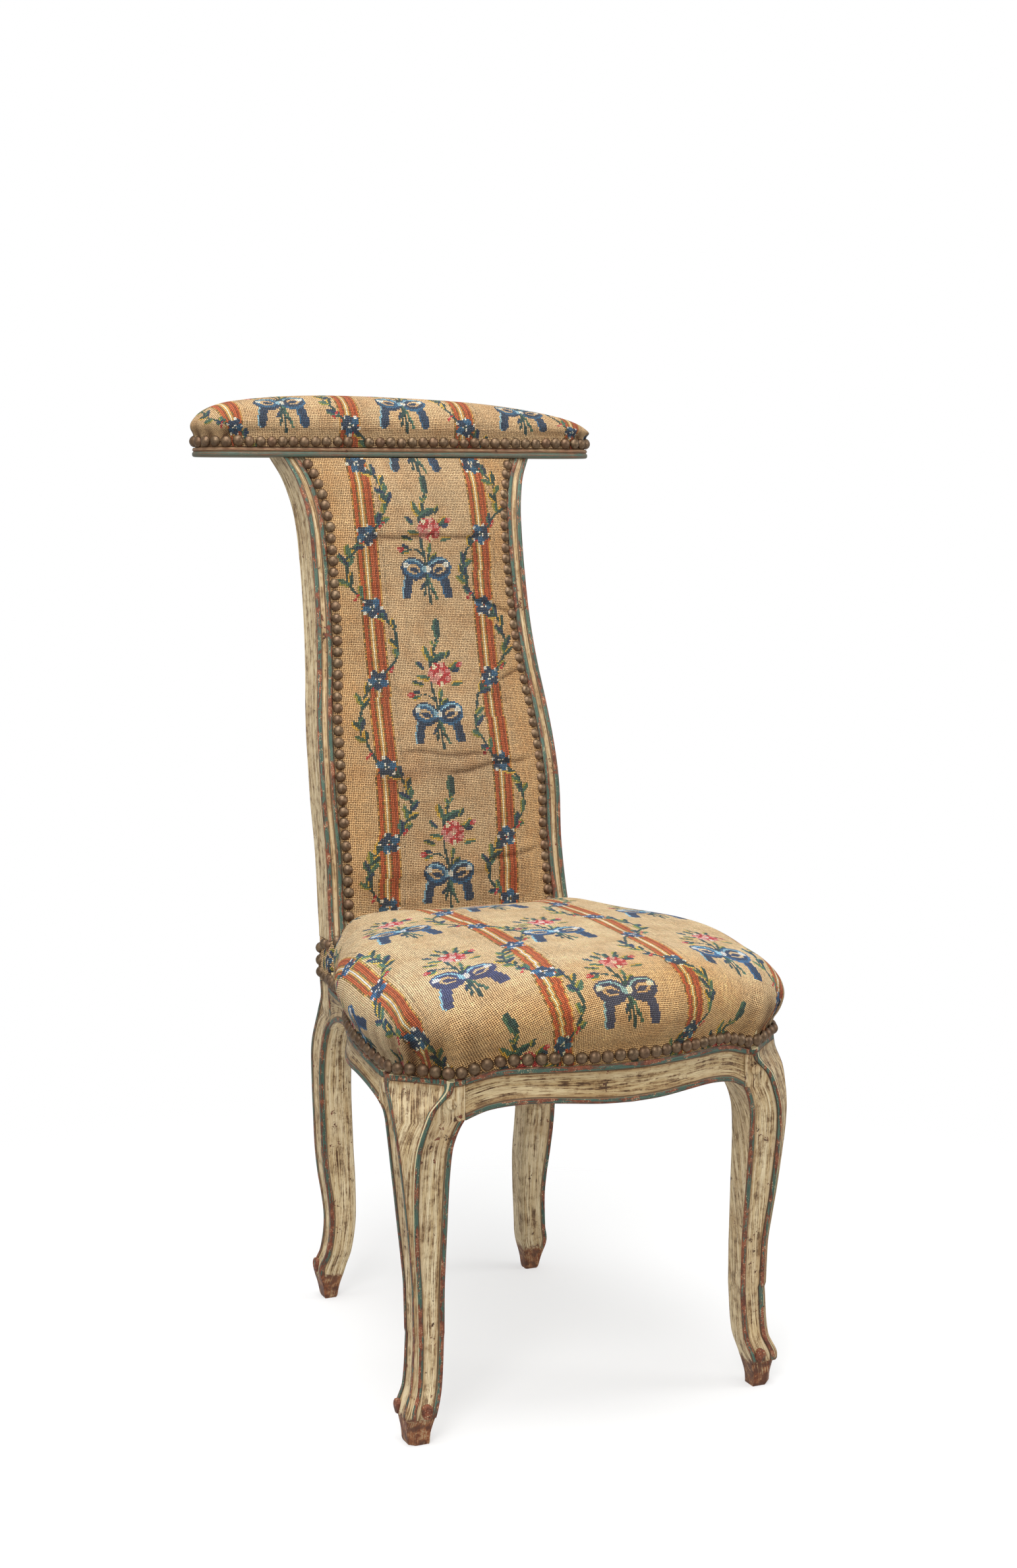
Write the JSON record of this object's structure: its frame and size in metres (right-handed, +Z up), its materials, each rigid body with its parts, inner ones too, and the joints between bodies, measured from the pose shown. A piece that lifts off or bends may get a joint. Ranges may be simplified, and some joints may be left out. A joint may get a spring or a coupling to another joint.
{
  "type": "voyeuse chair",
  "caption": "Low kneeling chair with a moulded, painted cabriole frame, a tall narrow padded back and a wide padded crest to lean on, covered in nailed needlework.",
  "frame": {"origin": "on the floor under the middle of the chair's footprint", "axes": "+X to the right seen from the front, +Y towards the back, +Z up; the seat front faces -Y"},
  "size_m": [0.4392, 0.6046, 0.9198],
  "materials": {
    "painted_wood": "cream paint with blue-green picked-out beads over red-brown ground, worn through at the edges",
    "bare_wood": "unpainted beech, aged brown",
    "webbing": "plain woven linen webbing",
    "plain_linen": "plain woven linen, unbleached",
    "horsehair": "curled hair in a stitched pad",
    "needlework": "coloured wool stitches on open tan canvas",
    "nail_brass": "antique dark brass, semi-gloss"
  },
  "bodies": {
    "root": {"front_leg_left": "painted_wood", "front_leg_right": "painted_wood", "rear_post_left": "painted_wood", "rear_post_right": "painted_wood", "front_rail": "painted_wood", "side_rail_left": "painted_wood", "side_rail_right": "painted_wood", "crest_board": "painted_wood", "joint_pegs": "painted_wood", "rear_rail": "bare_wood", "back_lower_rail": "bare_wood", "seat_straps_long": "webbing", "seat_straps_cross": "webbing", "back_straps_long": "webbing", "back_straps_cross": "webbing", "seat_base_cloth": "plain_linen", "back_lining": "plain_linen", "seat_stuffing": "horsehair", "back_stuffing": "horsehair", "crest_stuffing": "horsehair", "seat_cover": "needlework", "post_strip_left": "needlework", "post_strip_right": "needlework", "back_cover": "needlework", "crest_cover": "needlework", "seat_nails": "nail_brass", "strip_nails": "nail_brass", "back_nails": "nail_brass", "crest_nails": "nail_brass"}
  },
  "joints": []
}
